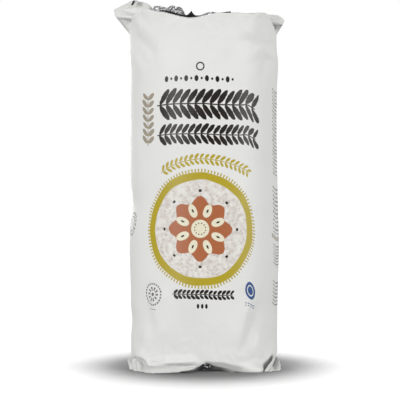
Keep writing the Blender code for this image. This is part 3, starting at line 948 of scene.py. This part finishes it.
# Its upper edge, and the line below which its colour is painted dark as the rim's shade, as
# distance across and drop
LIP_EDGE = MM * np.array((
    (-33.4, 6.4), (-32.9, 3.5), (-31.5, 3.2), (-28.5, 3.3), (-24.9, 4.2), (-24.2, 4.6),
    (-23.3, 3.8), (-21.8, 3.0), (-19.5, 3.1), (-18.5, 3.8), (-16.5, 3.6), (-14.6, 4.6),
    (-13.2, 6.5), (-12.6, 8.6), (-11.5, 9.4), (-10.0, 8.3), (-8.3, 6.2), (-7.8, 7.3), (-6.6, 8.9),
    (-5.4, 9.4), (-2.6, 9.3), (1.0, 7.9), (2.6, 7.3), (5.0, 7.2), (7.7, 7.6), (10.0, 7.6),
    (12.5, 7.3), (15.6, 6.9), (17.2, 6.7), (17.9, 8.2),
))
LIP_SHADE = MM * np.array((
    (-33.4, 9.0), (-31.0, 8.0), (-28.0, 6.6), (-24.7, 6.8), (-20.5, 7.8), (-16.5, 9.3),
    (-13.2, 10.3), (-10.0, 10.6), (-6.7, 10.4), (-4.4, 11.5), (1.9, 12.0), (18.2, 12.0),
))
# Painted tones along the lip, as place across, half width and softness in mm: painted shade darkens
# the point, and a painted highlight brightens the dome's right lobe. Past the point and before the
# dome it is painted bright too, and its right end is painted dark as shade
DARK_POINT, BRIGHT_LOBE = (-8.8, 3.2, 0.6), (-16.3, 2.6, 0.9)
DARK_FROM, BRIGHT_FROM, BRIGHT_BEFORE = (4.5, 1.6), (-4.0, 0.8), (-24.6, 0.8)
# How far above the shade line the painted fold shade reaches, and how soft its edge is, in mm
FOLD_SHADE = (0.75, 0.45)


def lip_places():
    """The crushed lip: it rises from the seam and leans back a little."""
    across = np.linspace(LIP_EDGE[0, 0], LIP_EDGE[-1, 0], LIP_COLUMNS)
    place = np.linspace(0.0, 1.0, LIP_ROWS)[:, None]
    low = SEAM_HEIGHT - 0.5 * MM
    height = mix(low, (pack_high.z - np.interp(across, *LIP_EDGE.T))[None], place)
    away = SEAM_SETBACK + mix(-LIP_LEAN, LIP_LEAN, place) + LIP_BELLY * np.sin(np.pi * place)
    places = np.stack(np.broadcast_arrays(across, away, height), axis=-1)
    crush = crumple(places, 3.2, (1.0, 4.0, 0.0)) + 0.6 * crumple(places, 1.4, (6.0, 0.0, 0.0))
    places[..., 1] += LIP_CRUSH * crush * ramp(height - low, 1.0 * MM, 5.0 * MM)
    above = height - (pack_high.z - np.interp(across, *LIP_SHADE.T))[None]
    return places, np.stack([places[..., 0], above], axis=-1)


def silver_finish(name, brightness, shaded=False):
    """The film's metallised inside, crushed. Its colour is a painted reflection, noise from near
    black to grey; when shaded, the lip's painted shade and painted highlights are laid on it.
    """
    material, tree, surface = new_finish(name)
    feed(surface["Metallic"], 1.0)
    feed(surface["Roughness"], 0.42)
    place = add_node("TexCoord", "Object", tree=tree)
    # painted reflection: the colour runs in noise patches from dark to bright, for what crushed
    # metal reflects
    painted_reflection = 2.6 * grain(place, 420.0, 3.0, 0.65) + brightness
    if shaded:
        across, above = split(flat_place(tree))
        # painted highlights and painted shade laid on the lip's colour
        bright = [
            inside(across - BRIGHT_BEFORE[0], BRIGHT_BEFORE[1]),
            inside(BRIGHT_FROM[0] - across, BRIGHT_FROM[1]),
            inside(band(across, *BRIGHT_LOBE[:2]), BRIGHT_LOBE[2]),
        ]
        dark = [
            inside(above - FOLD_SHADE[0], FOLD_SHADE[1]),
            inside(band(across, *DARK_POINT[:2]), DARK_POINT[2]),
            inside(DARK_FROM[0] - across, DARK_FROM[1]),
        ]
        painted_reflection = (painted_reflection + 0.3 * highest(*bright)) * (1.0 - 0.95 * highest(*dark))
    tones = ((0.0, (0.018, 0.018, 0.02, 1.0)), (1.0, (0.66, 0.66, 0.67, 1.0)))
    feed(surface["Base Color"], toned(painted_reflection, tones))
    dents = grain(place, 900.0)
    feed(surface["Normal"], add_node("Bump", "Normal", Strength=0.6, Distance=0.0006, Height=dents))
    return material


lip_silver = silver_finish("metallised_lip_painted_shade_and_highlights", -0.85, shaded=True)
lip_shape, lip_flat = lip_places()
thick_sheet("opened_lip", lip_shape, LIP_FILM, lip_silver, lip_flat)


def even_points(points, count):
    """Points spaced evenly along the straight runs through the given points, in mm."""
    points = np.array(points, dtype=float)
    reached = np.append(0.0, np.cumsum(np.linalg.norm(np.diff(points, axis=0), axis=1)))
    places = np.linspace(0.0, reached[-1], count)
    return np.stack([np.interp(places, reached, points[:, axis]) for axis in range(3)], axis=-1)


def sheet_through(lines, rows, columns):
    """A sheet of film through lines of points in mm, straight from each line to the next."""
    sampled = np.stack([even_points(line, columns) for line in lines]) * MM
    place = np.linspace(0.0, len(lines) - 1.0, rows)
    line = np.minimum(place.astype(int), len(lines) - 2)
    return mix(sampled[line], sampled[line + 1], (place - line)[:, None, None])


# At the outer end of the fin its two layers gape; the gap is a sheet whose colour is painted dark
# as the shade inside it
NOTCH_LINES = (
    ((-47.5, -1.3, 233.5), (-46.6, -1.7, 234.6), (-46.0, -1.5, 236.2)),
    ((-47.0, -1.5, 233.3), (-45.9, -2.2, 234.8), (-45.5, -1.7, 236.5)),
    ((-46.4, -1.3, 233.5), (-45.4, -1.7, 234.9), (-44.9, -1.4, 236.4)),
)
NOTCH_FILM = 0.3 * MM
notch_shape = sheet_through(NOTCH_LINES, 9, 16)
# with nothing above the shade line, the whole sheet takes the lip's painted fold shade
in_shade = 0.0 * flat_lengths(notch_shape)
thick_sheet("gaping_fin_end_painted_shade", notch_shape, NOTCH_FILM, lip_silver, in_shade)

# ---------------------------------------------------------------------------------------------
# The corner tabs. Where the foot of the wrap is folded shut, spare film is left over at its two
# front corners: a gathered, pleated tab at the left, and one folded over twice at the right.

# Pleats of the left tab from its back round to the front: top and bottom of each fold, in mm
LEFT_PLEATS = (
    ((-45.2, -13.0, 6.6), (-46.2, -14.0, 5.6), (-45.8, -15.0, 0.6), (-42.0, -13.0, 0.1)),
    ((-44.4, -16.0, 7.1), (-48.6, -19.4, 6.6), (-46.8, -20.4, 0.7), (-42.0, -17.0, 0.1)),
    ((-43.4, -18.5, 6.8), (-46.6, -21.2, 5.2), (-45.9, -22.3, 0.9), (-42.0, -20.0, 0.1)),
    ((-43.0, -20.5, 7.2), (-48.3, -24.6, 6.4), (-47.0, -26.2, 0.3), (-41.5, -22.0, 0.1)),
    ((-42.0, -22.0, 6.6), (-45.0, -24.4, 4.6), (-44.9, -27.0, 0.4), (-41.0, -24.0, 0.1)),
    ((-41.4, -23.4, 7.0), (-45.2, -26.6, 5.0), (-44.8, -29.0, 0.2), (-40.4, -25.5, 0.1)),
    ((-41.0, -24.4, 7.8), (-45.2, -29.0, 6.6), (-44.2, -31.2, 0.2), (-40.0, -27.0, 0.1)),
    ((-40.4, -25.4, 7.9), (-43.8, -31.0, 6.6), (-42.6, -33.6, 0.1), (-39.2, -28.5, 0.1)),
    ((-39.6, -26.5, 7.4), (-42.4, -30.6, 6.1), (-41.4, -33.8, 0.2), (-38.2, -29.8, 0.1)),
    ((-38.8, -27.6, 7.0), (-41.2, -32.2, 5.8), (-39.8, -35.6, 0.1), (-36.6, -32.0, 0.1)),
    ((-37.6, -28.6, 6.4), (-38.4, -30.2, 5.2), (-38.2, -36.2, 0.1), (-35.6, -33.0, 0.1)),
    ((-36.4, -29.2, 5.8), (-36.4, -30.4, 4.3), (-37.2, -37.4, 0.1), (-34.8, -34.0, 0.1)),
    ((-35.0, -30.0, 5.4), (-34.8, -31.4, 3.9), (-36.4, -38.0, 0.1), (-34.0, -35.0, 0.1)),
)
# Folds of the right tab from the body outwards
RIGHT_FOLDS = (
    ((45.0, -18.0, 9.0), (42.6, -26.5, 5.8), (40.0, -31.5, 3.2), (37.2, -35.5, 0.2)),
    ((45.4, -17.4, 8.6), (43.4, -27.4, 5.9), (41.0, -33.8, 3.3), (38.4, -37.8, 0.2)),
    ((45.5, -15.0, 7.8), (44.0, -22.4, 5.0), (42.0, -29.6, 2.6), (40.2, -35.6, 0.1)),
    ((45.8, -16.6, 7.2), (44.2, -23.5, 5.4), (41.9, -30.2, 2.4), (41.6, -35.2, 1.1),
     (40.6, -37.5, 0.1)),
    ((45.4, -11.0, 6.8), (44.6, -12.5, 5.0), (42.4, -16.5, 1.8), (43.6, -28.5, 0.9),
     (43.6, -33.5, 0.1)),
    ((45.9, -12.0, 6.9), (46.1, -17.0, 5.3), (44.3, -24.4, 1.9), (45.6, -30.0, 0.8),
     (45.0, -33.0, 0.1)),
    ((46.2, -14.5, 6.8), (47.5, -20.4, 5.2), (47.9, -26.8, 2.4), (47.8, -29.6, 1.0),
     (46.8, -31.6, 0.2)),
    ((45.6, -10.0, 7.0), (46.9, -15.0, 4.6), (47.6, -21.0, 2.0), (46.5, -25.0, 0.1)),
    ((45.0, -7.0, 6.2), (45.6, -11.0, 4.0), (45.4, -16.0, 1.6), (43.0, -19.0, 0.1)),
)
TAB_FILM, TAB_CRUSH, TAB_LOWEST = 0.15 * MM, 0.25 * MM, 0.02 * MM


def crushed_sheet(lines, rows, columns, depth, *layers):
    """A sheet through lines, crushed in layers: share, distance between ridges, and shift."""
    places = sheet_through(lines, rows, columns)
    crush = sum(share * crumple(places, size, shift) for share, size, shift in layers)
    return places + sheet_normals(places) * (depth * crush)[..., None]


coarse, fine = (1.0, 4.0, (2.0, 0.0, 8.0)), (0.5, 1.8, (0.0, 5.0, 1.0))
for name, folds, rows in (
    ("left_corner_tab", LEFT_PLEATS, 89), ("right_corner_tab", RIGHT_FOLDS, 81),
):
    tab_shape = crushed_sheet(folds, rows, 56, TAB_CRUSH, coarse, fine)
    tab_shape[..., 2] = np.maximum(tab_shape[..., 2], TAB_LOWEST)
    thick_sheet(name, tab_shape, TAB_FILM, seal_shaded_finish)

# ---------------------------------------------------------------------------------------------
# The foot seal. The fin that closes the foot is folded forward and shows as a narrow strip along
# the left half of the front hem; under the lifted hem its crushed metallised end looks out.

# The strip from its top edge, under the hem, down to the floor and back, left to right, in mm
STRIP_LINES = (
    ((-35.6, -34.0, 3.2), (-32.2, -35.6, 3.9), (-27.4, -39.0, 4.4), (-17.4, -44.0, 5.0),
     (-11.6, -45.2, 5.1), (-6.6, -46.0, 5.2), (-1.2, -46.6, 6.5)),
    ((-36.2, -37.2, 2.6), (-32.4, -38.4, 3.4), (-27.5, -41.4, 3.9), (-17.4, -46.2, 4.5),
     (-11.6, -47.4, 4.5), (-6.8, -47.8, 4.8), (-1.6, -47.6, 6.2)),
    ((-37.0, -39.4, 1.8), (-32.6, -42.2, 2.7), (-26.4, -45.0, 3.1), (-17.6, -47.2, 3.5),
     (-11.9, -47.4, 3.6), (-7.0, -47.4, 4.1), (-2.2, -47.4, 5.8)),
    ((-37.3, -40.2, 0.8), (-32.5, -44.0, 1.0), (-23.0, -47.4, 1.9), (-16.4, -48.9, 2.4),
     (-11.8, -49.0, 2.9), (-7.2, -48.8, 3.6), (-2.6, -48.0, 5.6)),
    ((-37.4, -40.4, 0.1), (-32.3, -44.4, 0.1), (-22.2, -47.6, 0.9), (-16.0, -49.0, 1.6),
     (-11.8, -49.0, 2.4), (-7.3, -48.8, 3.2), (-2.6, -48.2, 5.4)),
    ((-34.6, -39.0, 0.1), (-30.3, -42.2, 0.1), (-21.2, -45.4, 0.6), (-15.4, -46.8, 1.2),
     (-11.4, -47.0, 1.9), (-7.0, -47.0, 2.7), (-2.4, -46.8, 4.9)),
)
STRIP_FILM, STRIP_CRUSH = 0.25 * MM, 0.22 * MM
# The crushed end under the arch, from top to bottom
CRUSHED_LINES = (
    ((-4.6, -41.0, 5.2), (-2.0, -42.6, 6.7), (0.6, -43.4, 7.7), (3.4, -43.4, 6.4)),
    ((-4.4, -43.6, 4.4), (-2.0, -45.2, 5.7), (0.6, -45.8, 6.9), (3.6, -45.4, 5.6)),
    ((-4.0, -44.8, 3.2), (-1.6, -45.8, 4.4), (0.9, -46.2, 5.2), (3.8, -45.6, 4.9)),
    ((-3.2, -44.8, 1.8), (-0.8, -45.6, 2.8), (1.6, -45.6, 3.4), (4.0, -45.0, 4.2)),
)
CRUSHED_FILM, CRUSHED_DEPTH = 0.12 * MM, 0.7 * MM

strip_shape = crushed_sheet(STRIP_LINES, 33, 150, STRIP_CRUSH, (1.0, 5.0, (4.0, 1.0, 0.0)))
thick_sheet("foot_seal_fin", strip_shape, STRIP_FILM, seal_shaded_finish)

# painted reflection and shade: the crushed end's colour is set darker than the lip's, mostly near
# black with bright patches
foot_silver = silver_finish("metallised_foot_painted_reflection", -1.05)
coarse, fine = (1.0, 1.6, (0.0, 2.0, 3.0)), (0.5, 0.8, (5.0, 0.0, 0.0))
crushed_shape = crushed_sheet(CRUSHED_LINES, 49, 60, CRUSHED_DEPTH, coarse, fine)
thick_sheet("crushed_foot_seal", crushed_shape, CRUSHED_FILM, foot_silver)

# ---------------------------------------------------------------------------------------------
# The back seam. The web's two edges are sealed together down the back into a ribbed fin, which
# is folded flat and lies against the wrap from the top rim to the foot.

BACK_SEAM_FILM = 0.35 * MM
BACK_SEAM_WIDTH = 11.5 * MM
BACK_SEAM_LOW, BACK_SEAM_HIGH = 9.5 * MM, 217.0 * MM
BACK_SEAM_RIBS, BACK_SEAM_RIB_DEPTH = 9, 0.09 * MM
BACK_SEAM_FOLD, BACK_SEAM_LIFT, BACK_SEAM_LOOSE = 0.45 * MM, 0.5 * MM, 0.35 * MM
BACK_SEAM_WANDER = 0.5 * MM
BACK_SEAM_ROWS, BACK_SEAM_COLUMNS = 300, 46


def back_seam_places():
    """The folded fin: its left edge is the fold at the back's middle, its right the cut edge."""
    height, place = np.meshgrid(
        np.linspace(BACK_SEAM_LOW, BACK_SEAM_HIGH, BACK_SEAM_ROWS),
        np.linspace(0.0, 1.0, BACK_SEAM_COLUMNS), indexing="ij",
    )
    wander = BACK_SEAM_WANDER * np.sin(height * 31.0) * place
    bearing = 180.0 - np.degrees((place * BACK_SEAM_WIDTH + wander) / FILM_RADIUS)
    lifted = BACK_SEAM_FOLD + BACK_SEAM_LIFT * ramp(place, 0.0, 0.08)
    lifted += BACK_SEAM_LOOSE * place * np.sin(height * 58.0) ** 2
    ribs = np.cos(2.0 * np.pi * BACK_SEAM_RIBS * place) * ramp(place, 0.02, 0.1)
    rim = rim_points(bearing)
    blend = ramp(height, RIM_HEIGHT - RIM_BLEND, RIM_HEIGHT)
    body = mix(film_radius(bearing, height), np.hypot(rim[..., 0], rim[..., 1]), blend)
    return on_side(body + lifted + BACK_SEAM_RIB_DEPTH * ribs, bearing, height)


plain_finish = film_finish("matt_plain_film", PAPER_WHITE)
thick_sheet("back_seam_fin", back_seam_places(), BACK_SEAM_FILM, plain_finish)

# ---------------------------------------------------------------------------------------------
# The studio: a pale floor, soft light from above and both sides of the camera, and the camera.

FLOOR_SIZE = 20.0
# The floor reflects little light on the pack. Where it is seen it is lighter, and near the pack its
# colour darkens with ambient occlusion, a painted contact shadow; a little painted glow, seen only
# by the camera, keeps its deepest shade from black
FLOOR_UNSEEN = (0.07, 0.07, 0.07, 1.0)
CONTACT_REACH = 85.0 * MM
CONTACT_SHADE = (0.66, 0.94, 0.07, 0.35)    # open share where it starts and ends, and its greys
FLOOR_GLOW = 0.12

shape = bmesh.new()
bmesh.ops.create_grid(shape, x_segments=1, y_segments=1, size=FLOOR_SIZE / 2.0)
floor_mesh = bpy.data.meshes.new("floor")
shape.to_mesh(floor_mesh)
shape.free()
floor = set_out("floor", floor_mesh)
floor_finish, floor_tree, floor_surface = new_finish("pale_floor")
feed(floor_surface["Roughness"], 0.9)
feed(floor_surface["Specular IOR Level"], 0.0)
seen = add_node("LightPath", "Is Camera Ray", tree=floor_tree)
# painted contact shadow: the seen floor's colour follows ambient occlusion near the pack
contact = add_node("AmbientOcclusion", "AO", tree=floor_tree, Distance=CONTACT_REACH, samples=16)
shade = soft_step(contact, *CONTACT_SHADE)
feed(floor_surface["Base Color"], blend(FLOOR_UNSEEN, shade, seen))
feed(floor_surface["Emission Color"], (1.0, 1.0, 1.0, 1.0))
feed(floor_surface["Emission Strength"], FLOOR_GLOW * seen)
floor_mesh.materials.append(floor_finish)
floor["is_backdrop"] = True


def lamp(name, kind, strength, lit):
    """A light that lights only the things in lit."""
    light = bpy.data.lights.new(name, kind)
    light.energy = strength
    thing = set_out(name, light)
    thing.light_linking.receiver_collection = lit
    return thing


lit_pack = bpy.data.collections.new("lit_pack")
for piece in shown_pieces():
    lit_pack.objects.link(piece)
lit_floor = bpy.data.collections.new("lit_floor")
lit_floor.objects.link(floor)

# Square soft lights round the pack: place and power
SOFTBOX_SIZE = 2.6
SOFTBOX_AIM = Vector((0.0, 0.0, 0.10))
for name, place, power in (
    ("key_light", (-3.8, -4.1, 1.1), 264.0),
    ("fill_light", (5.2, -2.0, 0.9), 244.0),
    ("back_light", (-1.5, 5.4, 1.5), 150.0),
):
    softbox = lamp(name, "AREA", power, lit_pack)
    softbox.data.size = SOFTBOX_SIZE
    softbox.location = place
    softbox.rotation_euler = (SOFTBOX_AIM - Vector(place)).to_track_quat("-Z", "Y").to_euler()

# Soft lights high behind the pack and a weak one in front light only the floor, so that its
# shadow is deep at the foot and spreads evenly to both sides: tilt, turn, width and strength
for tilt, turn, angle, strength in (
    (-14.0, 0.0, 17.0, 4.9), (-5.0, -8.0, 12.0, 0.8), (-5.0, 8.0, 12.0, 0.8), (50.0, 0.0, 8.0, 2.6),
):
    overhead = lamp("floor_light", "SUN", strength, lit_floor)
    overhead.data.angle = math.radians(angle)
    overhead.rotation_euler = (math.radians(tilt), math.radians(turn), 0.0)

# The sky lights the pack more softly than it shows behind it
SKY_LIGHT = 0.31
world = bpy.data.worlds.new("studio")
world.use_nodes = True
sky = world.node_tree.nodes["Background"].inputs
sky_seen = add_node("LightPath", "Is Camera Ray", tree=world.node_tree)
feed(sky["Strength"], SKY_LIGHT + (1.0 - SKY_LIGHT) * sky_seen)
feed(sky["Color"], (1.0, 1.0, 1.0, 1.0))
bpy.context.scene.world = world

CAMERA_PLACE = Vector((-0.0027, -0.850, 0.107))
VIEW_WIDTH = 0.260           # width of the view at the pack's axis
camera = bpy.data.cameras.new("camera")
camera.lens = camera.sensor_width * -CAMERA_PLACE.y / VIEW_WIDTH
camera_object = set_out("camera", camera)
camera_object.location = CAMERA_PLACE
camera_object.rotation_euler = (math.radians(90.0), 0.0, 0.0)
bpy.context.scene.camera = camera_object
bpy.context.scene.view_settings.view_transform = "Standard"
